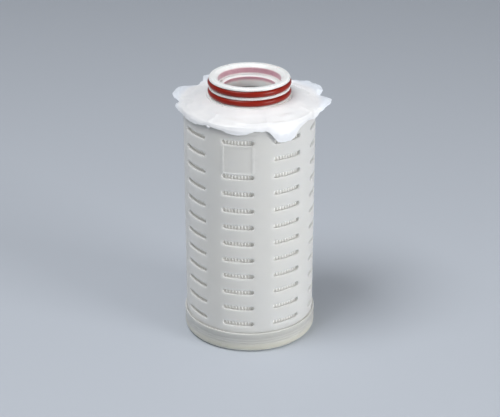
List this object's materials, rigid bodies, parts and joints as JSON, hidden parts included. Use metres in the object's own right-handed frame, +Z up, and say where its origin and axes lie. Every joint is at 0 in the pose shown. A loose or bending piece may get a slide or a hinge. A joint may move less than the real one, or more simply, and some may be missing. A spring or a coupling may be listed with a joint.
{
  "type": "membrane filter cartridge",
  "caption": "Pleated membrane filter cartridge with slotted cage, closed bottom cap, lobed collar and a double O-ring adapter outlet.",
  "frame": {"origin": "centre of the bottom end cap's lower face", "axes": "+Z up along the cartridge's axis towards the open outlet; the blank panel faces -Y, turned 10 degrees towards -X"},
  "size_m": [0.0856, 0.0805, 0.1487],
  "materials": {
    "cap_plastic": "moulded, slightly translucent white",
    "cage_plastic": "moulded, slightly translucent white",
    "core_plastic": "moulded white",
    "adapter_plastic": "smooth moulded white",
    "sleeve_plastic": "moulded natural",
    "silicone_rubber": "smooth red-brown silicone",
    "collar_sheet": "thin translucent white sheet",
    "support_fleece": "white nonwoven",
    "membrane_sheet": "white microporous membrane"
  },
  "bodies": {
    "root": {"bottom_end_cap": "cap_plastic", "outer_cage": "cage_plastic", "inner_core": "core_plastic", "top_end_cap": "cap_plastic", "o_ring_adapter": "adapter_plastic", "reinforcing_ring": "sleeve_plastic", "upper_o_ring": "silicone_rubber", "lower_o_ring": "silicone_rubber", "scalloped_collar": "collar_sheet", "upstream_support": "support_fleece", "prefilter_membrane": "membrane_sheet", "final_membrane": "membrane_sheet", "downstream_support": "support_fleece"}
  },
  "joints": []
}
